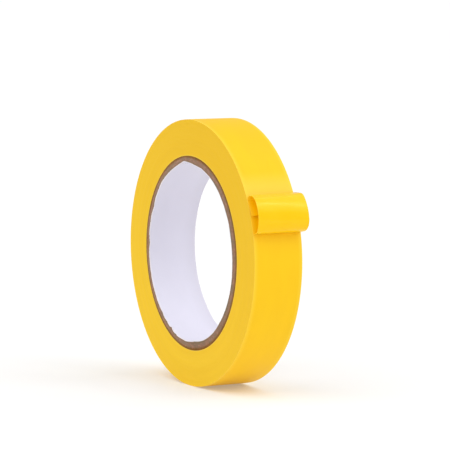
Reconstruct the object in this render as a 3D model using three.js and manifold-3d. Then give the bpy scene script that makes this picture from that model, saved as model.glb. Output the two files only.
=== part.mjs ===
// A roll of masking tape that stands on its tread, with its free end curled back into a pull tab.
// Millimetres, +Z up. The roll's axis is along Y and the origin is under it, where it stands.

import * as THREE from 'three';
import { mergeVertices } from 'three/addons/utils/BufferGeometryUtils.js';
import Module from 'manifold-3d';

const wasm = await Module();
wasm.setup();

// Driving dimensions
const ROLL_RADIUS = 57;
const CORE_RADIUS = 41.5;
const BORE_RADIUS = 38.15;
const WIDTH = 22.4;
const TAPE = 0.14;
const BACKING = 0.1;
const SKIN_GAP = 0.01;

// The core: a thin paper liner, then plies of kraft board wound as helices
const LINER = 0.25;
const PLIES = 6;
const PLY_GAP = 0.02;
const SEAM_GAP = 0.4;
const SEAM_STEPS = 14;
const SEAM_LEAD = THREE.MathUtils.degToRad(2.4);
const SEAM_STAGGER = THREE.MathUtils.degToRad(137);

// One facet of every ring lies flat at the bottom, so the roll stands still on it
const FACETS = 68;
const FACET = 2 * Math.PI / FACETS;
const STANDING_ANGLE = -Math.PI / 2;
const FOLD_FACETS = 19.5;
const FOLD_ANGLE = STANDING_ANGLE + FOLD_FACETS * FACET;
const TURN_TRIM = 0.3 / (ROLL_RADIUS * FACET);

// The curled end: straight out from the fold, three bends, a tight bend that lands on the tread,
// and a last stretch tucked inside the loop. The shares cut it into the lengths that hinge
const TAIL_START = 0.3;
const TAIL_STRAIGHT = 2;
const TAIL_BENDS = [
  { radius: 4.5, degrees: 62 },
  { radius: 10.3, degrees: 45 },
  { radius: 10.9, degrees: 50.6 },
];
const TAIL_CLEARANCE = 0.3;
const TUCK = { radius: 32, degrees: 12 };
const TAIL_SHARES = [0.1, 0.12, 0.15, 0.16, 0.165, 0.055, 0.06, 0.19];
const HINGE_GAP = 0.3;
const TAIL_STEP = 0.6;

const COLOURS = {
  backing: { color: 0xf8ca34, roughness: 0.55, metalness: 0 },
  adhesive: { color: 0xfdd01c, roughness: 0.3, metalness: 0 },
  turns: { color: 0xf5c636, roughness: 0.7, metalness: 0 },
  kraft: { color: 0x9a7a5c, roughness: 0.9, metalness: 0 },
  liner: { color: 0xe2e0ec, roughness: 0.6, metalness: 0 },
};

function named(name, geometry, look) {
  const mesh = new THREE.Mesh(geometry, new THREE.MeshStandardMaterial(COLOURS[look]));
  mesh.name = name;
  return mesh;
}

function polar(radius, angle) {
  return new THREE.Vector2(radius * Math.cos(angle), radius * Math.sin(angle));
}

// Extrudes an outline drawn in X and Z across the tape's width
function acrossWidth(shape) {
  const geometry = new THREE.ExtrudeGeometry(shape, { depth: WIDTH, bevelEnabled: false });
  geometry.rotateX(Math.PI / 2);
  geometry.translate(0, WIDTH / 2, 0);
  return geometry;
}

function toSolid(geometry) {
  geometry.deleteAttribute('normal');
  geometry.deleteAttribute('uv');
  const merged = mergeVertices(geometry, 1e-4);
  return new wasm.Manifold(new wasm.Mesh({
    numProp: 3,
    vertProperties: merged.attributes.position.array,
    triVerts: Uint32Array.from(merged.index.array),
  }));
}

function fromSolid(solid) {
  const mesh = solid.getMesh();
  const geometry = new THREE.BufferGeometry();
  geometry.setAttribute('position', new THREE.BufferAttribute(mesh.vertProperties, 3));
  geometry.setIndex(new THREE.BufferAttribute(mesh.triVerts, 1));
  geometry.computeVertexNormals();
  return geometry;
}

function ring(inner, outer) {
  const edge = WIDTH / 2;
  const corners = [[inner, -edge], [outer, -edge], [outer, edge], [inner, edge], [inner, -edge]];
  const profile = corners.map(([radius, y]) => new THREE.Vector2(radius, y));
  return new THREE.LatheGeometry(profile, FACETS, Math.PI - FACET / 2);
}

// A narrow helical slot through a wall, where the edges of a wound ply meet
function seamSlot(inner, outer, angle) {
  const middle = (inner + outer) / 2;
  const slot = new THREE.BoxGeometry(SEAM_GAP, WIDTH + 2, outer - inner + 2, 1, SEAM_STEPS, 1);
  const place = slot.attributes.position;
  for (let i = 0; i < place.count; i += 1) {
    const turn = angle + place.getX(i) / middle + place.getY(i) * SEAM_LEAD;
    const point = polar(middle - place.getZ(i), turn);
    place.setXYZ(i, point.x, place.getY(i), point.y);
  }
  return slot;
}

function woundPly(inner, outer, angle) {
  return fromSolid(toSolid(ring(inner, outer)).subtract(toSolid(seamSlot(inner, outer, angle))));
}

function makeCore() {
  const core = new THREE.Group();
  const plySpace = (CORE_RADIUS - BORE_RADIUS - LINER) / PLIES;
  core.add(named('core_liner', woundPly(BORE_RADIUS, BORE_RADIUS + LINER, 0), 'liner'));
  for (let ply = 1; ply <= PLIES; ply += 1) {
    const outer = BORE_RADIUS + LINER + ply * plySpace;
    const inner = outer - plySpace + PLY_GAP;
    core.add(named(`core_ply_${ply}`, woundPly(inner, outer, ply * SEAM_STAGGER), 'kraft'));
  }
  return core;
}

// Radius of the outermost turn's outer face, a given number of facets on from its start
function turnRadius(facet) {
  return ROLL_RADIUS - TAPE * (1 - facet / FACETS);
}

// A point a given depth under that face. Between two facets it lies on the flat that joins them
function turnPoint(facet, depth) {
  const before = Math.floor(facet);
  const after = Math.min(before + 1, FACETS);
  const corner = (index) => polar(turnRadius(index) - depth, FOLD_ANGLE - index * FACET);
  return corner(before).lerp(corner(after), facet - before);
}

// The wound turns under the outermost one, with the small step that a spiral leaves
function makeTurns() {
  const outline = [];
  const hole = [];
  for (let facet = 0; facet < FACETS; facet += 1) {
    outline.push(turnPoint(facet, TAPE));
    hole.push(polar(CORE_RADIUS + PLY_GAP, FOLD_ANGLE + facet * FACET));
  }
  outline.push(turnPoint(FACETS - TURN_TRIM, TAPE));
  const shape = new THREE.Shape(outline);
  shape.holes.push(new THREE.Path(hole));
  return named('wound_turns', acrossWidth(shape), 'turns');
}

// One layer of the outermost turn, between two depths below its outer face
function turnLayer(top, bottom) {
  const outside = [];
  const inside = [];
  for (let facet = 0; facet <= FACETS; facet += 1) {
    const place = Math.max(facet, TURN_TRIM);
    outside.push(turnPoint(place, top));
    inside.push(turnPoint(place, bottom));
  }
  return acrossWidth(new THREE.Shape([...outside, ...inside.reverse()]));
}

function makeOuterTurn() {
  const turn = new THREE.Group();
  turn.add(named('outer_turn', turnLayer(0, BACKING), 'backing'));
  turn.add(named('outer_turn_adhesive', turnLayer(BACKING + SKIN_GAP, TAPE - SKIN_GAP), 'adhesive'));
  return turn;
}

// The curled end's middle line, drawn from the fold in X and Z about the roll's axis
function tailPath() {
  const path = new THREE.CurvePath();
  const tread = ROLL_RADIUS + TAIL_CLEARANCE + TAPE / 2;
  let heading = FOLD_ANGLE;
  let point = polar(ROLL_RADIUS, FOLD_ANGLE);
  const bend = (radius, degrees) => {
    const turn = THREE.MathUtils.degToRad(degrees);
    const centre = point.clone().add(polar(radius, heading + Math.PI / 2));
    const from = heading - Math.PI / 2;
    path.add(new THREE.EllipseCurve(centre.x, centre.y, radius, radius, from, from + turn));
    heading += turn;
    point = centre.clone().add(polar(radius, heading - Math.PI / 2));
  };
  const straightEnd = point.clone().add(polar(TAIL_STRAIGHT, heading));
  path.add(new THREE.LineCurve(point, straightEnd));
  point = straightEnd;
  TAIL_BENDS.forEach(({ radius, degrees }) => bend(radius, degrees));

  // The tight bend whose circle touches the tread from outside
  const side = polar(1, heading + Math.PI / 2);
  const tight = (point.lengthSq() - tread ** 2) / (2 * (tread - point.dot(side)));
  const centre = point.clone().addScaledVector(side, tight);
  const downTread = centre.angle() + 1.5 * Math.PI;
  bend(tight, THREE.MathUtils.radToDeg(downTread - heading));
  bend(TUCK.radius, TUCK.degrees);
  return path;
}

// A stretch of one layer of the curled end, between two sides of its middle line
function tailBand(path, start, end, left, right) {
  const length = path.getLength();
  const steps = Math.ceil((end - start) / TAIL_STEP);
  const near = [];
  const far = [];
  for (let step = 0; step <= steps; step += 1) {
    const share = (start + (end - start) * step / steps) / length;
    const point = path.getPointAt(share);
    const tangent = path.getTangentAt(share);
    const outward = new THREE.Vector2(tangent.y, -tangent.x);
    near.push(point.clone().addScaledVector(outward, left));
    far.push(point.clone().addScaledVector(outward, right));
  }
  return acrossWidth(new THREE.Shape([...near, ...far.reverse()]));
}

function makeTail() {
  const tail = new THREE.Group();
  const path = tailPath();
  const length = path.getLength();
  const middle = TAPE / 2;
  let joint = 0;
  TAIL_SHARES.forEach((share, index) => {
    const next = joint + share * length;
    const start = index === 0 ? TAIL_START : joint + HINGE_GAP / 2;
    const end = index === TAIL_SHARES.length - 1 ? length : next - HINGE_GAP / 2;
    const backing = tailBand(path, start, end, -middle, BACKING - middle);
    const adhesive = tailBand(path, start, end, BACKING + SKIN_GAP - middle, middle);
    tail.add(named(`tail_${index + 1}`, backing, 'backing'));
    tail.add(named(`tail_${index + 1}_adhesive`, adhesive, 'adhesive'));
    joint = next;
  });
  return tail;
}

const standingRadius = turnRadius(FOLD_FACETS);
const roll = new THREE.Group();
roll.position.z = standingRadius * Math.cos(FACET / 2);
roll.add(makeCore(), makeTurns(), makeOuterTurn(), makeTail());

const group = new THREE.Group();
group.add(roll);

export default group;
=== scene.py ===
"""A roll of masking tape with its free end curled back into a pull tab, in Blender around the CAD frame.

The frame is in metres: +Z up, the roll's axis along Y, standing at z = 0. Lengths below are in metres,
and the helper mm() turns millimetres into them.
"""

import math

import bpy
import numpy as np
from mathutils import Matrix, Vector


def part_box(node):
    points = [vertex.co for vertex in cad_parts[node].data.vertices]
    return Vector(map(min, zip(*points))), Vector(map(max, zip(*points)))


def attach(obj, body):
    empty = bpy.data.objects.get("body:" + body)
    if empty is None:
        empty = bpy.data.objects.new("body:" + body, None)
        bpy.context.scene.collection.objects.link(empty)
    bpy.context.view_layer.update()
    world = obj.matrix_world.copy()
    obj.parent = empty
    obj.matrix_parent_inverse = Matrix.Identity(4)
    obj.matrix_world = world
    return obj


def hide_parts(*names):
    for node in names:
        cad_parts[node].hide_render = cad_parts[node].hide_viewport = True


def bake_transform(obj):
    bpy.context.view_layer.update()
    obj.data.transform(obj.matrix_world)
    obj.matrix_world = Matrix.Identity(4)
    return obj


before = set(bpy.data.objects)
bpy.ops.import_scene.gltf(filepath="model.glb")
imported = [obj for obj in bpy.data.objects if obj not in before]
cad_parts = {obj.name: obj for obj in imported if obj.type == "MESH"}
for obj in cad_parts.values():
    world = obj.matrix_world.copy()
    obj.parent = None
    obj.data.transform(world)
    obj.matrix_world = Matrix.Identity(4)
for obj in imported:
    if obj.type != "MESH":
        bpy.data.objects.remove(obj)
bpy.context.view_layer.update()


def mm(value):
    return value * 0.001


# ---------------------------------------------------------------- sizes
ROLL_RADIUS = mm(57)
CORE_RADIUS = mm(41.5)
BORE_RADIUS = mm(38.15)
LINER = mm(0.25)
PLIES = 6
PLY_GAP = mm(0.02)
SEAM_GAP = mm(0.4)
SEAM_LEAD = math.radians(2.4) / mm(1)
SEAM_STAGGER = math.radians(137)
TAPE = mm(0.14)
BACKING = mm(0.1)
SHEET_GAP = mm(0.004)

turns_low, turns_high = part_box("wound_turns")
HALF_WIDTH = (turns_high.y - turns_low.y) / 2
core_low, core_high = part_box("core_ply_6")
CENTRE = Vector((0, 0, (core_low.z + core_high.z) / 2))

# The curled end, seen along the roll's axis: the angle where it leaves the tread, a straight, some
# bends as (radius, degrees), a straight run back to the tread, and how high it passes over the tread
FOLD_ANGLE = math.radians(-90 + 19.5 * 360 / 68)
MIDDLE_LINE = (FOLD_ANGLE, mm(2), [(mm(4.5), 62), (mm(10.3), 45), (mm(10.9), 50.6)], 0, mm(0.3))
NEAR_EDGE = (math.radians(13.0), mm(2.6), [(mm(1.3), 52), (mm(11.8), 65), (mm(5), 51)], mm(0.9), mm(0.05))
FAR_EDGE = (math.radians(12.96), mm(3.2), [(mm(4.9), 86), (mm(16.5), 34), (mm(4), 48)], mm(4.5), mm(0.05))
TUCK_BEND = (mm(32), 12)
TAIL_SHARES = [0.1, 0.12, 0.15, 0.16, 0.165, 0.055, 0.06, 0.19]
FOLD_RADIUS = mm(0.35)
FOLD_LEAD = mm(9)
STEP_GAP = mm(0.3)
# Along the outermost turn, where its painted sheen band starts, is palest from and to, and ends: a paler
# band painted on the tread just above the curled end, as a highlight
PAINTED_SHEEN_BAND = [ROLL_RADIUS * math.radians(360 - degrees) for degrees in (42, 32, 27, 23)]
STRIP_COLUMNS = 33
TAIL_STEP = mm(0.12)
FOLD_STEP = mm(0.08)
# The fold's curve: how long the handles of its cubic are, as a share of the fold's radius
FOLD_HANDLE = 0.55
# Faint ripples along the curled end, and how far they slant across it, in radians at its edge
TAIL_RIPPLE = mm(0.04)
TAIL_RIPPLE_LENGTH = mm(2.3)
TAIL_RIPPLE_SLANT = 2
# The outermost turn's grid, and how much lower its two edges lie
TURN_STEPS = 900
TURN_COLUMNS = 41
EDGE_DROOP = mm(0.05)
DROOP_POWER = 24

# The side of the roll: its grid, then how far single turns, ripples from turn to turn and waves round
# the roll stand out, how many turns are flatter at its rims, and how far it is set in
SIDE_STEPS = 360
SIDE_RINGS = 104
WALL_COLUMNS = 9
RING_HEIGHT = mm(0.018)
RIPPLE_HEIGHT = mm(0.03)
RIPPLE_TURN = 0.31
WAVE_HEIGHT = mm(0.035)
WAVE_BANDS = 5
RIM_RINGS = 3
SIDE_INSET = mm(0.02)

# The core's sheets: their grid, which is closer near the cut edges, and how those edges are torn
SHEET_STEPS = 1080
SHEET_COLUMNS = 29
EDGE_CROWDING = 1.6
RAGGED_WAVES = [2, 3, 5, 9, 14, 23, 37, 61, 97]
NICK_WAVES = [31, 47, 71, 113, 151]
NICK_LEVEL = 0.25
FAR_RIM_CRUSH = mm(0.12)
FAR_RIM_WAVES = [3, 4, 7, 11, 17]
EDGE_POWER = 6
RAGGED_DEPTH = 0.4
TORN_DEPTH = 0.6
# The bore's near rim: where it is crushed, as (degrees, how far outward, half its width in degrees),
# and how steeply that fades into the core
RIM_DENTS = [(97, mm(0.95), 13), (98, mm(0.3), 4), (133, mm(0.35), 10), (153, mm(-0.65), 7),
             (178, mm(-0.9), 5), (200, mm(0.1), 14), (226, mm(-0.25), 5), (228, mm(-0.3), 2),
             (236, mm(-0.4), 1.6), (243, mm(-0.65), 1.8), (250.5, mm(-0.35), 1.6), (251, mm(0.3), 8),
             (277, mm(-0.85), 13), (291, mm(-0.35), 13), (315, mm(-0.6), 32), (15, mm(-0.6), 45),
             (24, mm(0.25), 8), (74, mm(0.25), 6), (75, mm(-0.35), 25)]
DENT_POWER = 8
RIM_BURR = mm(0.3)

# Torn fibres at the core's two ends. A share of them lies close to the bore, within a depth
FIBRES = 260
INNER_SHARE = 0.55
INNER_DEPTH = mm(0.5)
FIBRE_LENGTHS = (mm(0.25), mm(0.9))
FIBRE_THICKNESSES = (mm(0.02), mm(0.05))
FIBRE_TAPER = (0.35, 1.0, 0.3)
FIBRE_SINK = mm(0.06)
FIBRE_MARGIN = mm(0.2)
FIBRE_BEND = 0.2

# The camera: how far it is from the roll's middle, and where it stands and looks from, as degrees
# round from +X and degrees up
CAMERA_DISTANCE = 21.03776 * ROLL_RADIUS
CAMERA_PLACE = (-28.07974, 6.02712)
CAMERA_LOOK = (-28.31881, 5.47783)
CAMERA_LENS = 224.49
FLOOR_HALF = 40
WORLD_STRENGTH = 0.58

WAVY_GAIN = 1.6
rng = np.random.default_rng(7)


# ---------------------------------------------------------------- meshes
def wavy(phase_seed, waves, falloff=1.0):
    """A smooth random function of an angle, with values of about -1 to 1, that closes on itself."""
    local = np.random.default_rng(phase_seed)
    numbers = np.array(waves)
    sizes = local.uniform(0.5, 1, len(waves)) / numbers ** falloff
    phases = local.uniform(0, 2 * math.pi, len(waves))
    total = sizes.sum()

    def value(angle):
        angle = np.asarray(angle)[..., None]
        return (sizes * np.cos(numbers * angle + phases)).sum(-1) / total * WAVY_GAIN

    return value


def enclosed_volume(mesh):
    """Six times the volume inside a closed mesh, below zero where its faces point in."""
    mesh.calc_loop_triangles()
    places = np.empty(len(mesh.vertices) * 3)
    mesh.vertices.foreach_get("co", places)
    triangles = np.empty(len(mesh.loop_triangles) * 3, dtype=np.int32)
    mesh.loop_triangles.foreach_get("vertices", triangles)
    corners = places.reshape(-1, 3)[triangles.reshape(-1, 3)]
    return np.einsum("ij,ij->i", corners[:, 0], np.cross(corners[:, 1], corners[:, 2])).sum()


def mesh_object(name, vertices, faces, uvs, material, smooth_angle=40, wraps=None):
    """A piece from its faces, with the surface coordinates of each vertex.

    wraps is added to the first coordinate at each face corner, where a closed ring meets its own start.
    """
    mesh = bpy.data.meshes.new(name)
    mesh.from_pydata([tuple(v) for v in vertices], [], faces)
    corner_uvs = np.asarray(uvs, dtype=np.float32)[np.concatenate(faces)]
    if wraps is not None:
        corner_uvs[:, 0] += wraps
    mesh.uv_layers.new(name="metres").data.foreach_set("uv", corner_uvs.ravel())
    mesh.materials.append(material)
    mesh.validate()
    if enclosed_volume(mesh) < 0:
        mesh.flip_normals()
    piece = bpy.data.objects.new(name, mesh)
    bpy.context.scene.collection.objects.link(piece)
    piece.data.polygons.foreach_set("use_smooth", [True] * len(mesh.polygons))
    mesh.set_sharp_from_angle(angle=math.radians(smooth_angle))
    return piece


def slab(name, top, bottom, uv, material):
    """A closed thin solid between two grids of points of shape (along, across, 3)."""
    along, across = top.shape[:2]
    count = along * across
    index = np.arange(count).reshape(along, across)
    a, b, c, d = index[:-1, :-1], index[1:, :-1], index[1:, 1:], index[:-1, 1:]
    upper = np.stack([a, b, c, d], -1).reshape(-1, 4)
    lower = upper[:, ::-1] + count
    rim = np.concatenate([index[:, 0], index[-1, 1:], index[-2::-1, -1], index[0, -2:0:-1]])
    following = np.roll(rim, -1)
    sides = np.stack([following, rim, rim + count, following + count], -1)
    vertices = np.concatenate([top.reshape(-1, 3), bottom.reshape(-1, 3)])
    faces = np.concatenate([upper, lower, sides]).tolist()
    uvs = np.concatenate([uv.reshape(-1, 2)] * 2)
    return mesh_object(name, vertices, faces, uvs, material)


def ring_solid(name, grid, uv, one_turn, material):
    """A closed ring whose grid has shape (round the axis, round the section, 3).

    one_turn is how much the first surface coordinate changes in a whole turn.
    """
    around, section = grid.shape[:2]
    index = np.arange(around * section).reshape(around, section)
    a = index
    b = np.roll(index, -1, 0)
    c = np.roll(b, -1, 1)
    d = np.roll(index, -1, 1)
    faces = np.stack([d, c, b, a], -1).reshape(-1, 4)
    wraps = np.zeros(faces.shape)
    wraps[-section:, 1:3] = one_turn
    return mesh_object(name, grid.reshape(-1, 3), faces.tolist(), uv.reshape(-1, 2), material,
                       wraps=wraps.ravel())


def about_axis(radius, angle, y):
    """Points from a radius and an angle about the roll's axis, broadcast together."""
    radius, angle, y = np.broadcast_arrays(radius, angle, y)
    return np.stack([radius * np.cos(angle), y, CENTRE.z + radius * np.sin(angle)], -1)


# ---------------------------------------------------------------- materials
class Nodes:
    """Short calls for building one material's node tree."""

    def __init__(self, name, **sockets):
        self.material = bpy.data.materials.new(name)
        self.material.use_nodes = True
        self.tree = self.material.node_tree
        self.shader = self.tree.nodes["Principled BSDF"]
        for socket, value in sockets.items():
            self.shader.inputs[socket.replace("_", " ")].default_value = value

    def add(self, kind, settings=None, **inputs):
        node = self.tree.nodes.new(kind)
        for key, value in (settings or {}).items():
            setattr(node, key, value)
        for key, value in inputs.items():
            numbered = key[1:].isdigit()
            socket = node.inputs[int(key[1:]) if numbered else key.replace("_", " ")]
            if isinstance(value, bpy.types.NodeSocket):
                self.tree.links.new(value, socket)
            else:
                socket.default_value = value
        return node

    def metres(self, along, across):
        """The piece's own measured surface coordinates, scaled along and across."""
        source = self.add("ShaderNodeUVMap", {"uv_map": "metres"})
        scaled = self.add("ShaderNodeVectorMath", {"operation": "MULTIPLY"},
                          i0=source.outputs[0], i1=(along, across, 1))
        return scaled.outputs[0]

    def noise(self, vector, detail=3.0, roughness=0.5, dimensions="2D"):
        node = self.add("ShaderNodeTexNoise", {"noise_dimensions": dimensions},
                        Vector=vector, Scale=1.0, Detail=detail, Roughness=roughness)
        return node.outputs["Fac"]

    def ramp(self, value, low, high, start=0.35, end=0.65):
        """A colour that goes from low to high as value goes from start to end."""
        node = self.add("ShaderNodeValToRGB", Fac=value)
        node.color_ramp.elements[0].position = start
        node.color_ramp.elements[1].position = end
        node.color_ramp.elements[0].color = (*low, 1)
        node.color_ramp.elements[1].color = (*high, 1)
        return node.outputs["Color"]

    def blend_colours(self, amount, first, second):
        node = self.add("ShaderNodeMix", {"data_type": "RGBA"}, Factor=amount, i6=first, i7=second)
        return node.outputs[2]

    def span(self, value, low, high):
        """value, which lies between 0 and 1, spread from low to high."""
        node = self.add("ShaderNodeMapRange", Value=value, To_Min=low, To_Max=high)
        return node.outputs["Result"]

    def total(self, first, second):
        return self.add("ShaderNodeMath", {"operation": "ADD"}, i0=first, i1=second).outputs[0]

    def rise(self, axis, start, end, most=1.0):
        """From 0 to most as one of the surface coordinates goes from start to end."""
        place = self.add("ShaderNodeSeparateXYZ", i0=self.metres(1, 1)).outputs[axis]
        node = self.add("ShaderNodeMapRange", {"interpolation_type": "SMOOTHSTEP"}, Value=place,
                        From_Min=start, From_Max=end, To_Max=most)
        return node.outputs["Result"]

    def between(self, axis, stops):
        """From 0 up to 1 and back to 0, as a surface coordinate passes four stops."""
        up = self.rise(axis, stops[0], stops[1])
        down = self.rise(axis, stops[3], stops[2])
        return self.add("ShaderNodeMath", {"operation": "MULTIPLY"}, i0=up, i1=down).outputs[0]

    def near_edges(self, reach, most):
        """From 0 in the middle of the tape to most at its two slit edges, over the last reach of it."""
        across = self.add("ShaderNodeSeparateXYZ", i0=self.metres(1, 1)).outputs["Y"]
        distance = self.add("ShaderNodeMath", {"operation": "ABSOLUTE"}, i0=across).outputs[0]
        node = self.add("ShaderNodeMapRange", {"interpolation_type": "SMOOTHSTEP"}, Value=distance,
                        From_Min=HALF_WIDTH - reach, From_Max=HALF_WIDTH, To_Max=most)
        return node.outputs["Result"]

    def around(self, radius, degrees, low, high):
        """A slow wave once round the roll, low to high at an angle, on a surface unrolled at radius."""
        along = self.add("ShaderNodeSeparateXYZ", i0=self.metres(1 / radius, 1)).outputs["X"]
        turned = self.add("ShaderNodeMath", {"operation": "SUBTRACT"}, i0=along, i1=math.radians(degrees))
        wave = self.add("ShaderNodeMath", {"operation": "COSINE"}, i0=turned.outputs[0]).outputs[0]
        node = self.add("ShaderNodeMapRange", Value=wave, From_Min=-1, To_Min=low, To_Max=high)
        return node.outputs["Result"]

    def wound(self, turn_size, out):
        """Coordinates that close on themselves round the roll, scaled by out along its radius."""
        place = self.add("ShaderNodeSeparateXYZ", i0=self.metres(1 / ROLL_RADIUS, out))
        circle = []
        for function in ("COSINE", "SINE"):
            wave = self.add("ShaderNodeMath", {"operation": function}, i0=place.outputs["X"]).outputs[0]
            circle.append(self.add("ShaderNodeMath", {"operation": "MULTIPLY"}, i0=wave, i1=turn_size))
        joined = self.add("ShaderNodeCombineXYZ", i0=circle[0].outputs[0], i1=circle[1].outputs[0],
                          i2=place.outputs["Y"])
        return joined.outputs[0]

    def drive(self, name, socket):
        self.tree.links.new(socket, self.shader.inputs[name])

    def colour(self, socket):
        self.drive("Base Color", socket)

    def roughness(self, socket):
        self.drive("Roughness", socket)

    def bump(self, height, distance, strength=1.0):
        node = self.add("ShaderNodeBump", Strength=strength, Distance=distance, Height=height)
        self.tree.links.new(node.outputs[0], self.shader.inputs["Normal"])


KRAFT_COLOURS = [(0.270, 0.150, 0.080), (0.450, 0.268, 0.155), (0.260, 0.195, 0.105)]
FIBRE_TINT = (1.25, 1.25, 1.25)
# One for each ply, from the inside out; the outer two are darker, more saturated browns, painted shade
# where the tape's first turns meet the core
PLY_TINTS_AND_SHADE = [(0.86, 0.9, 0.98), (1.04, 1.0, 1.2), (1.08, 1.03, 1.25), (1.05, 0.98, 1.1),
             (0.86, 0.68, 0.46), (0.8, 0.52, 0.18)]


def crepe_backing(name):
    """The smooth outside of the tape: fine crepe wrinkles across it, faint cloudy streaks along it,
    slit edges painted paler as a highlight on their slightly crushed corner, and a band painted paler as
    a sheen just above the curled end."""
    m = Nodes(name, Specular_IOR_Level=0.35, Specular_Tint=(1, 0.92, 0.6, 1))
    clouds = m.noise(m.metres(38, 130), detail=3)
    crepe = m.noise(m.metres(2600, 420), detail=4, roughness=0.6)
    fibres = m.noise(m.metres(900, 5200), detail=3)
    body = m.ramp(clouds, (0.960, 0.572, 0.001), (0.980, 0.592, 0.002))
    # painted sheen: a paler band on the tread just above the curled end stands in for a highlight there
    sheened = m.blend_colours(m.between("X", PAINTED_SHEEN_BAND), body, (0.985, 0.640, 0.048, 1))
    # painted highlight: the tape is blended paler towards its two slit edges
    m.colour(m.blend_colours(m.near_edges(mm(2), 0.5), sheened, (1.0, 0.690, 0.060, 1)))
    m.roughness(m.span(clouds, 0.46, 0.54))
    m.bump(m.total(crepe, m.span(fibres, 0, 0.35)), mm(0.012), 0.5)
    return m


def curled_backing():
    """The same on the loose end, with a faint painted glow standing in for light that comes through the
    thin paper.
    """
    m = crepe_backing("curled_backing")
    # painted glow: a faint orange emission on the loose end brightens the inside of the loop
    m.shader.inputs["Emission Color"].default_value = (0.8, 0.6, 0, 1)
    loose = m.rise("X", -FOLD_LEAD, -0.7 * FOLD_LEAD)
    m.drive("Emission Strength", m.span(loose, 0, 0.1))
    m.drive("Specular IOR Level", m.span(loose, 0.35, 0.1))
    return m


def tape_film():
    """The sticky side: the yellow paper seen through a glossy film with faint drawn lines."""
    m = Nodes("adhesive_film", Specular_IOR_Level=0.5, Specular_Tint=(1, 0.85, 0.36, 1))
    drawn = m.noise(m.metres(70, 700), detail=3)
    clouds = m.noise(m.metres(60, 90), detail=3)
    m.colour(m.ramp(clouds, (0.985, 0.588, 0.003), (1.0, 0.604, 0.006)))
    m.roughness(m.span(drawn, 0.16, 0.22))
    m.bump(drawn, mm(0.01), 0.35)
    return m.material


def tape_edges():
    """The roll's side: the cut edges of many turns, as fine rings with slow bands between them."""
    m = Nodes("tape_edges", Roughness=0.62, Specular_IOR_Level=0.15, Specular_Tint=(1, 0.78, 0.2, 1))
    turns = m.noise(m.wound(0.8, 7200), detail=2, dimensions="3D")
    bands = m.noise(m.wound(0.35, 260), detail=2, dimensions="3D")
    dust = m.noise(m.metres(1500, 1500), detail=3)
    fine = m.ramp(turns, (0.940, 0.592, 0.026), (0.970, 0.618, 0.032), 0.3, 0.7)
    slow = m.ramp(bands, (0.925, 0.578, 0.026), (0.980, 0.634, 0.032), 0.3, 0.7)
    wound = m.blend_colours(0.6, fine, slow)
    # painted shade: the side is blended darker towards its upper right
    shaded_upper_right = m.blend_colours(m.around(ROLL_RADIUS, 65, 0.0, 0.8), wound, (0.865, 0.520, 0.020, 1))
    # painted highlight: a paler, warmer yellow line on the turns right next to the core
    core_rim_highlight = m.rise("Y", CORE_RADIUS + mm(0.45), CORE_RADIUS, 0.75)
    m.colour(m.blend_colours(core_rim_highlight, shaded_upper_right, (1.0, 0.700, 0.110, 1)))
    m.roughness(m.span(turns, 0.56, 0.66))
    m.bump(m.total(turns, m.span(dust, 0, 0.3)), mm(0.015), 0.5)
    return m.material


def kraft_board(name, tint=(1, 1, 1)):
    """Brown board with fibres along the winding and darker, greener blotches."""
    m = Nodes(name, Roughness=0.85, Specular_IOR_Level=0.2)
    fibres = m.noise(m.metres(700, 4200), detail=5, roughness=0.65)
    blotches = m.noise(m.metres(260, 900), detail=3)
    tinted = [tuple(shade * t for shade, t in zip(colour, tint)) for colour in KRAFT_COLOURS]
    base = m.ramp(fibres, tinted[0], tinted[1], 0.3, 0.7)
    m.colour(m.blend_colours(m.span(blotches, -1.8, 2.4), base, (*tinted[2], 1)))
    m.bump(fibres, mm(0.06), 0.8)
    return m.material


def liner_paper():
    """The smooth white paper inside the core, faintly mottled, with long fibres, painted shade on one
    side of the bore and towards its far edge, and a painted highlight on its near cut edge.
    """
    m = Nodes("liner_paper", Roughness=0.5, Specular_IOR_Level=0.3)
    mottle = m.noise(m.metres(60, 130), detail=4, roughness=0.55)
    fibres = m.noise(m.metres(900, 2600), detail=3)
    clean = m.ramp(mottle, (0.775, 0.758, 0.868), (0.800, 0.783, 0.895), 0.3, 0.7)
    shaded = m.blend_colours(m.around(BORE_RADIUS + LINER, 160, 0.0, 0.5), clean, (0.66, 0.645, 0.75, 1))
    # painted shade: the lining darkens towards the bore's far edge
    towards_far_edge = m.rise("Y", HALF_WIDTH - mm(7), HALF_WIDTH, 0.4)
    shaded_to_far_edge = m.blend_colours(towards_far_edge, shaded, (0.64, 0.62, 0.71, 1))
    # painted highlight: the lining's near cut edge is blended paler
    near_edge_highlight = m.rise("Y", mm(0.5) - HALF_WIDTH, -HALF_WIDTH, 0.6)
    m.colour(m.blend_colours(near_edge_highlight, shaded_to_far_edge, (0.9, 0.83, 0.82, 1)))
    m.roughness(m.span(fibres, 0.42, 0.58))
    m.bump(m.total(mottle, m.span(fibres, 0, 0.3)), mm(0.02), 0.5)
    return m.material


def pale_floor():
    """A white table lit a little from below."""
    m = Nodes("pale_floor", Roughness=1.0, Specular_IOR_Level=0.0,
              Emission_Color=(1, 1, 1, 1), Emission_Strength=0.2)
    m.shader.inputs["Base Color"].default_value = (0.77, 0.77, 0.77, 1)
    return m.material


BACKING_LOOK = crepe_backing("crepe_backing").material
CURLED_LOOK = curled_backing().material
FILM_LOOK = tape_film()
EDGE_LOOK = tape_edges()
LINER_LOOK = liner_paper()


# ---------------------------------------------------------------- core
def rim_dent(angle):
    """How far the bore's crushed near rim stands outward at each angle."""
    turn = 2 * math.pi
    depth = np.zeros_like(angle)
    for degrees, size, half_width in RIM_DENTS:
        away = np.abs((angle - math.radians(degrees) + math.pi) % turn - math.pi)
        depth += size * np.clip(1 - away / math.radians(half_width), 0, 1)
    return depth


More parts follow.
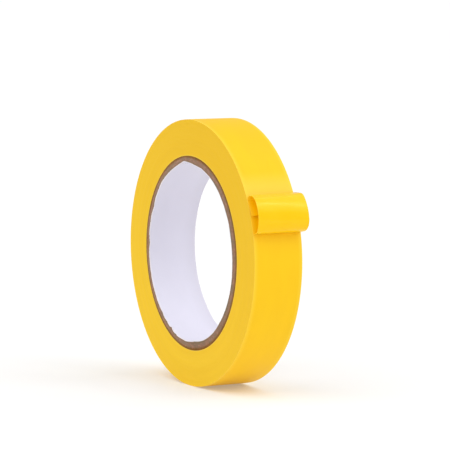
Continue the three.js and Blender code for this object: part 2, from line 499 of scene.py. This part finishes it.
def wound_sheet(name, inner, outer, seam, look, ragged, seed, softness):
    """One ply of the core: a strip wound round the axis, whose two edges meet at a helical seam.

    ragged is how uneven its cut edges are. softness, from 0 to 1, is how much of the rim's dents it
    takes.
    """
    u = np.linspace(0, 1, SHEET_STEPS)[:, None]
    even = np.linspace(-1, 1, SHEET_COLUMNS)[None, :]
    v = np.sign(even) * (1 - (1 - np.abs(even)) ** EDGE_CROWDING)
    gap = SEAM_GAP / outer
    base = seam + gap / 2 + u * (2 * math.pi - gap)
    near = v < 0
    waves = [wavy(seed + side, RAGGED_WAVES, 0.45)(base) for side in (0, 1)]
    nicks = [wavy(seed + 20 + side, NICK_WAVES, 0.1)(base) for side in (0, 1)]
    torn = np.clip(np.where(near, nicks[0], nicks[1]) - NICK_LEVEL, 0, 1)
    uneven = RAGGED_DEPTH + RAGGED_DEPTH * np.where(near, waves[0], waves[1])
    recess = ragged * (uneven + TORN_DEPTH * torn)
    burr = RIM_BURR * softness * near
    edge = np.abs(v) ** EDGE_POWER
    y = v * (HALF_WIDTH + (burr - recess) * edge)
    angle = base + y * SEAM_LEAD
    # the rim is crushed where the log of rolls was cut
    crush = np.where(near, rim_dent(angle), FAR_RIM_CRUSH * wavy(3, FAR_RIM_WAVES, 0.5)(angle))
    dents = softness * crush * np.abs(v) ** DENT_POWER
    grids = [about_axis(radius + dents, angle, y) for radius in (outer, inner)]
    uv = np.stack(np.broadcast_arrays(angle * outer, y), -1)
    piece = slab(name, grids[0], grids[1], uv, look)
    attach(piece, "roll")
    return piece


def make_core():
    space = (CORE_RADIUS - BORE_RADIUS - LINER) / PLIES
    liner = wound_sheet("liner_sheet", BORE_RADIUS, BORE_RADIUS + LINER, 0.0,
                        LINER_LOOK, mm(0.22), 100, 1.0)
    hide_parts("core_liner")
    for ply in range(1, PLIES + 1):
        outer = BORE_RADIUS + LINER + ply * space
        look = kraft_board(f"kraft_board_{ply}", PLY_TINTS_AND_SHADE[ply - 1])
        sheet = wound_sheet(f"kraft_ply_{ply}", outer - space + PLY_GAP, outer, ply * SEAM_STAGGER,
                            look, mm(0.1), 200 + 7 * ply, 1 - ply / PLIES)
        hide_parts(f"core_ply_{ply}")


def fibre_corners():
    """The nine corners of one torn fibre, as three triangles along it."""
    side = rng.choice((-1, 1))
    angle = rng.uniform(0, 2 * math.pi)
    radius = rng.uniform(BORE_RADIUS + LINER, CORE_RADIUS - FIBRE_MARGIN)
    if rng.random() < INNER_SHARE:
        radius = BORE_RADIUS + rng.uniform(0.0, INNER_DEPTH)
    length = rng.uniform(*FIBRE_LENGTHS)
    thick = rng.uniform(*FIBRE_THICKNESSES)
    along = Vector((rng.normal(), 0, rng.normal())).normalized()
    along.y = side * rng.uniform(-0.2, 0.25)
    start = Vector(about_axis(radius, angle, side * (HALF_WIDTH - FIBRE_SINK)).tolist())
    bend = Vector((rng.normal(), rng.normal() * 0.3, rng.normal())) * length * FIBRE_BEND
    rise = Vector((0, side, 0)) * thick
    spread = along.cross(Vector((0, 1, 0))).normalized() * thick
    corners = []
    points = [start - along * length / 2, start + bend, start + along * length / 2]
    for point, width in zip(points, FIBRE_TAPER):
        corners += [point + spread * width, point + rise * width, point - spread * width]
    return corners


def fibre_faces(first):
    """The faces of a fibre whose corners start at an index."""
    faces = []
    for ring in (0, 3):
        for k in range(3):
            following = (k + 1) % 3
            faces.append([first + ring + k, first + ring + following,
                          first + ring + 3 + following, first + ring + 3 + k])
    return faces + [[first + 2, first + 1, first], [first + 6, first + 7, first + 8]]


def make_core_fibres():
    """Short torn fibres that stand out of the core's two cut ends."""
    vertices, faces, uvs = [], [], []
    for _ in range(FIBRES):
        corners = fibre_corners()
        faces += fibre_faces(len(vertices))
        vertices += corners
        uvs += [(p.x + p.z, p.y) for p in corners]
    piece = mesh_object("core_end_fibres", vertices, faces, uvs,
                        kraft_board("kraft_fibres", FIBRE_TINT), 80)
    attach(piece, "roll")


# ---------------------------------------------------------------- wound tape
def turn_radius(share):
    """The outermost turn's outer face, at a share of the way round from where the turn starts."""
    return ROLL_RADIUS - TAPE * (1 - share)


def side_lift(side, angle):
    """How far the cut edge of each turn stands out past the tape's width, at each angle."""
    local = np.random.default_rng(31 + side)
    ring = np.arange(SIDE_RINGS)
    height = local.uniform(-1, 1, SIDE_RINGS) * RING_HEIGHT
    height += RIPPLE_HEIGHT * np.sin(ring * RIPPLE_TURN + side) * local.uniform(0.3, 1, SIDE_RINGS)
    bands = range(WAVE_BANDS)
    drift = np.stack([wavy(400 + side + 3 * k, [1, 2, 3, 5], 0.7)(angle) for k in bands], -1)
    places = np.linspace(0, WAVE_BANDS - 1, SIDE_RINGS)
    wave = np.stack([np.interp(places, bands, row) for row in drift])
    flatter_rims = np.minimum(1, np.minimum(ring, ring[::-1]) / RIM_RINGS)
    return (height + WAVE_HEIGHT * wave) * flatter_rims - SIDE_INSET


def make_wound_turns():
    """The turns under the outermost one. Their cut edges make the roll's side, in fine uneven rings."""
    inner = CORE_RADIUS + PLY_GAP
    share = (np.arange(SIDE_STEPS) / SIDE_STEPS)[:, None]
    angle = FOLD_ANGLE - share * 2 * math.pi
    outer = turn_radius(share) - TAPE - SHEET_GAP
    radius = inner + (outer - inner) * (np.arange(SIDE_RINGS)[None, :] / (SIDE_RINGS - 1))
    sides = [side * (HALF_WIDTH + side_lift(side, angle[:, 0])) for side in (-1, 1)]
    wall = np.linspace(-1, 1, WALL_COLUMNS)[None, 1:-1]
    grid = np.concatenate([
        about_axis(radius, angle, sides[0]),
        about_axis(outer, angle, wall * HALF_WIDTH),
        about_axis(radius, angle, sides[1])[:, ::-1],
        about_axis(inner, angle, -wall * HALF_WIDTH),
    ], 1)
    along_bore = np.broadcast_to(inner + (1 - wall) * HALF_WIDTH, (SIDE_STEPS, wall.size))
    lengths = np.concatenate([radius, outer + (wall + 1) * HALF_WIDTH, radius[:, ::-1], along_bore], 1)
    uv = np.stack(np.broadcast_arrays(angle * ROLL_RADIUS, lengths), -1)
    piece = ring_solid("wound_turns_edges", grid, uv, -2 * math.pi * ROLL_RADIUS, EDGE_LOOK)
    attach(piece, "roll")
    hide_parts("wound_turns")


# ---------------------------------------------------------------- curled end
def strip_line(leaves, straight, bends, run, clearance):
    """A line along the curled end, as (length, curvature, start point, start heading) of each arc."""
    tread = ROLL_RADIUS + clearance + TAPE / 2
    heading = leaves
    point = ROLL_RADIUS * np.array([math.cos(heading), math.sin(heading)])
    arcs = []

    def follow(length, curvature):
        nonlocal heading, point
        arcs.append((length, curvature, point, heading))
        point, heading = along_arc(arcs[-1], length)

    follow(straight, 0.0)
    for radius, degrees in bends:
        follow(radius * math.radians(degrees), 1 / radius)
    follow(run, 0.0)
    side = np.array([-math.sin(heading), math.cos(heading)])
    tight = (point @ point - tread ** 2) / (2 * (tread - point @ side))
    centre = point + side * tight
    down_tread = math.atan2(centre[1], centre[0]) + 1.5 * math.pi
    follow(tight * (down_tread - heading), 1 / tight)
    radius, degrees = TUCK_BEND
    follow(radius * math.radians(degrees), 1 / radius)
    return arcs


def along_arc(arc, distance):
    length, curvature, point, heading = arc
    if curvature == 0:
        return point + distance * np.array([math.cos(heading), math.sin(heading)]), heading
    turned = heading + distance * curvature
    change = np.array([math.sin(turned) - math.sin(heading), math.cos(heading) - math.cos(turned)])
    return point + change / curvature, turned


def on_line(arcs, distance):
    """(point, heading) at a distance along a line of arcs."""
    for arc in arcs[:-1]:
        if distance <= arc[0]:
            return along_arc(arc, distance)
        distance -= arc[0]
    return along_arc(arcs[-1], distance)


MIDDLE = strip_line(*MIDDLE_LINE)
EDGES = [strip_line(*NEAR_EDGE), strip_line(*FAR_EDGE)]
TAIL_LENGTH = sum(arc[0] for arc in MIDDLE)
LANDING = TAIL_LENGTH - MIDDLE[-1][0]
JOINTS = np.concatenate([[0], np.cumsum(TAIL_SHARES)]) * TAIL_LENGTH
MIDDLES = (JOINTS[:-1] + JOINTS[1:]) / 2


def directed(angle):
    """Unit vectors at angles in the plane across the roll's axis."""
    return np.stack([np.cos(angle), np.sin(angle)], -1)


def leaving_angle(across):
    near, far = NEAR_EDGE[0], FAR_EDGE[0]
    return near + (far - near) * (1 + across) / 2


def strip_row(distance, across):
    """(points, outward normals) of the strip's middle line, for places across it from -1 to 1.

    Up to the fold, where distance is below 0, the strip lies on the tread.
    """
    tread = ROLL_RADIUS - TAPE / 2
    if distance <= -FOLD_RADIUS:
        normals = directed(leaving_angle(across) - distance / tread)
        return tread * normals, -normals
    if distance < FOLD_RADIUS:
        return fold_row(distance, across)
    share = (1 + across) / 2
    rows = []
    for arcs in EDGES:
        landing = sum(arc[0] for arc in arcs[:-1])
        reached = min(distance, LANDING) * landing / LANDING + max(0, distance - LANDING)
        rows.append(on_line(arcs, reached))
    (near, near_heading), (far, far_heading) = rows
    normals = directed(near_heading + (far_heading - near_heading) * share - math.pi / 2)
    swell = TAIL_RIPPLE * math.sin(math.pi * min(1, distance / LANDING))
    ripple = swell * np.sin(distance / TAIL_RIPPLE_LENGTH + TAIL_RIPPLE_SLANT * across)
    return near + (far - near) * share[:, None] + normals * ripple[:, None], normals


def fold_row(distance, across):
    """The same inside the fold, a short cubic from down the tread to straight out of it."""
    outward = directed(leaving_angle(across))
    down = directed(leaving_angle(across) - math.pi / 2)
    start, _ = strip_row(-FOLD_RADIUS, across)
    end, _ = strip_row(FOLD_RADIUS, across)
    handle = FOLD_RADIUS * FOLD_HANDLE
    controls = [start, start + down * handle, end - outward * handle, end]
    t = (distance + FOLD_RADIUS) / (2 * FOLD_RADIUS)
    weights = [(1 - t) ** 3, 3 * t * (1 - t) ** 2, 3 * t * t * (1 - t), t ** 3]
    slopes = [-3 * (1 - t) ** 2, 3 * (1 - t) * (1 - 3 * t), 3 * t * (2 - 3 * t), 3 * t * t]
    points = sum(weight * control for weight, control in zip(weights, controls))
    tangents = sum(slope * control for slope, control in zip(slopes, controls))
    tangents = tangents / np.linalg.norm(tangents, axis=1, keepdims=True)
    return points, np.stack([tangents[:, 1], -tangents[:, 0]], -1)


def strip_grid(start, end, depth, step):
    """Points at a depth outside the strip's middle line, with the surface's own coordinates."""
    distances = np.linspace(start, end, max(4, math.ceil((end - start) / step) + 1))
    across = np.linspace(-1, 1, STRIP_COLUMNS)
    rows = [strip_row(distance, across) for distance in distances]
    section = np.array([points + normals * depth for points, normals in rows])
    y = np.broadcast_to(across * HALF_WIDTH, section.shape[:2])
    grid = np.stack([section[..., 0], y, CENTRE.z + section[..., 1]], -1)
    uv = np.stack([np.broadcast_to(distances[:, None], y.shape), y], -1)
    return grid, uv


LAYERS = {
    "backing": (-TAPE / 2, BACKING - TAPE / 2, CURLED_LOOK, "crepe_backing"),
    "film": (BACKING - TAPE / 2 + SHEET_GAP, TAPE / 2, FILM_LOOK, "adhesive_film"),
}


def tail_layer(name, layer, start, end, step):
    inside, outside, look, slot = LAYERS[layer]
    top, uv = strip_grid(start, end, outside, step)
    bottom, _ = strip_grid(start, end, inside, step)
    return slab(name, top, bottom, uv, look)


def in_space(point):
    return Vector((point[0], 0, CENTRE.z + point[1]))


def turning_line(start, end):
    """Two points between which a length of the strip turns from one body to the next.

    All of its row at start lies before them and all of its row at end after them.
    """
    first, last = (on_line(MIDDLE, distance)[0] for distance in (start, end))
    along = (last - first) / np.linalg.norm(last - first)
    across = np.linspace(-1, 1, STRIP_COLUMNS)
    begins = (strip_row(start, across)[0] @ along).max() + TAPE / 2
    finishes = (strip_row(end, across)[0] @ along).min() - TAPE / 2
    return [in_space(first + along * (place - first @ along)) for place in (begins, finishes)]


def make_tail():
    """Lengths of both layers, each from the middle of one hinged body to the middle of the next."""
    bodies = [f"tail_{i + 1}" for i in range(len(TAIL_SHARES))]
    for layer in LAYERS:
        suffix = "" if layer == "backing" else "_adhesive"
        fold = tail_layer(f"tail_fold_{layer}", layer, -FOLD_LEAD, MIDDLES[0], FOLD_STEP)
        corner = in_space(on_line(MIDDLE, 0)[0])
        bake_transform(fold)
        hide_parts(bodies[0] + suffix)
        for index in range(len(bodies) - 1):
            start, end = MIDDLES[index], MIDDLES[index + 1]
            turns_from, turns_to = turning_line(start, end)
            if index == len(bodies) - 2:
                end = TAIL_LENGTH
            piece = tail_layer(f"tail_{layer}_{index + 1}", layer, start, end, TAIL_STEP)
            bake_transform(piece)
            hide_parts(bodies[index + 1] + suffix)


def make_outer_turn():
    """The last whole turn, from under the fold round to just above it."""
    across = np.linspace(-1, 1, TURN_COLUMNS)[None, :]
    start = FOLD_ANGLE - STEP_GAP / ROLL_RADIUS
    end = leaving_angle(across) + FOLD_LEAD / (ROLL_RADIUS - TAPE / 2) - 2 * math.pi
    angle = start + (end - start) * np.linspace(0, 1, TURN_STEPS)[:, None]
    # the edges of the last turn lie a little lower, which rounds the roll's corner
    droop = EDGE_DROOP * np.abs(across) ** DROOP_POWER
    surface = turn_radius((FOLD_ANGLE - angle) / (2 * math.pi)) - droop
    y = np.broadcast_to(across * HALF_WIDTH, angle.shape)
    uv = np.stack([-angle * ROLL_RADIUS, y], -1)
    for name, node, top, bottom, look, slot in (
        ("outer_turn_backing", "outer_turn", 0.0, BACKING, BACKING_LOOK, "crepe_backing"),
        ("outer_turn_film", "outer_turn_adhesive", BACKING + SHEET_GAP, TAPE - SHEET_GAP,
         FILM_LOOK, "adhesive_film"),
    ):
        piece = slab(name, about_axis(surface - bottom, angle, y), about_axis(surface - top, angle, y),
                     uv, look)
        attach(piece, "roll")
        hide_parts(node)


make_core()
make_core_fibres()
make_wound_turns()
make_outer_turn()
make_tail()


# ---------------------------------------------------------------- stage, lights and camera
def make_floor():
    mesh = bpy.data.meshes.new("floor")
    signs = [(-1, -1), (1, -1), (1, 1), (-1, 1)]
    mesh.from_pydata([(x * FLOOR_HALF, y * FLOOR_HALF, 0) for x, y in signs], [], [(0, 1, 2, 3)])
    mesh.materials.append(pale_floor())
    floor = bpy.data.objects.new("floor", mesh)
    bpy.context.scene.collection.objects.link(floor)


def aim(light, towards_light):
    """Turns a light to shine on the roll from a direction, and puts it a metre away."""
    direction = Vector(towards_light).normalized()
    light.location = CENTRE + direction
    light.rotation_mode = "QUATERNION"
    light.rotation_quaternion = direction.to_track_quat("Z", "Y")
    bpy.context.scene.collection.objects.link(light)


def soft_sun(name, towards_light, strength, spread):
    """A very large, far softbox, as a sun as wide as the angle it fills."""
    data = bpy.data.lights.new(name, "SUN")
    data.energy = strength
    data.angle = math.radians(spread)
    aim(bpy.data.objects.new(name, data), towards_light)


def strip_light(name, towards_light, width, length, watts):
    data = bpy.data.lights.new(name, "AREA")
    data.shape = "RECTANGLE"
    data.size = width
    data.size_y = length
    data.energy = watts
    aim(bpy.data.objects.new(name, data), towards_light)


def make_lights():
    world = bpy.data.worlds.new("studio")
    world.use_nodes = True
    background = world.node_tree.nodes["Background"]
    background.inputs["Color"].default_value = (1, 1, 1, 1)
    background.inputs["Strength"].default_value = WORLD_STRENGTH
    bpy.context.scene.world = world
    soft_sun("top_softbox", (0.34, 0.47, 0.815), strength=0.95, spread=70)
    soft_sun("front_softbox", (0.05, -0.6, 0.8), strength=0.95, spread=60)
    strip_light("strip_softbox", (0.755, 0.472, 0.457), width=0.04, length=1.2, watts=1.25)


def from_middle(degrees_round, degrees_up):
    """The direction some degrees round from +X and some degrees above the floor."""
    around, up = math.radians(degrees_round), math.radians(degrees_up)
    return Vector((math.cos(up) * math.cos(around), math.cos(up) * math.sin(around), math.sin(up)))


def make_camera():
    """A long lens, a little above the roll's middle, that looks just beside it."""
    data = bpy.data.cameras.new("camera")
    data.sensor_width = 36
    data.lens = CAMERA_LENS
    data.clip_end = 100
    camera = bpy.data.objects.new("camera", data)
    camera.location = CENTRE + CAMERA_DISTANCE * from_middle(*CAMERA_PLACE)
    camera.rotation_mode = "QUATERNION"
    camera.rotation_quaternion = from_middle(*CAMERA_LOOK).to_track_quat("Z", "Y")
    bpy.context.scene.collection.objects.link(camera)
    bpy.context.scene.camera = camera


make_floor()
make_lights()
make_camera()
bpy.context.scene.view_settings.view_transform = "Standard"
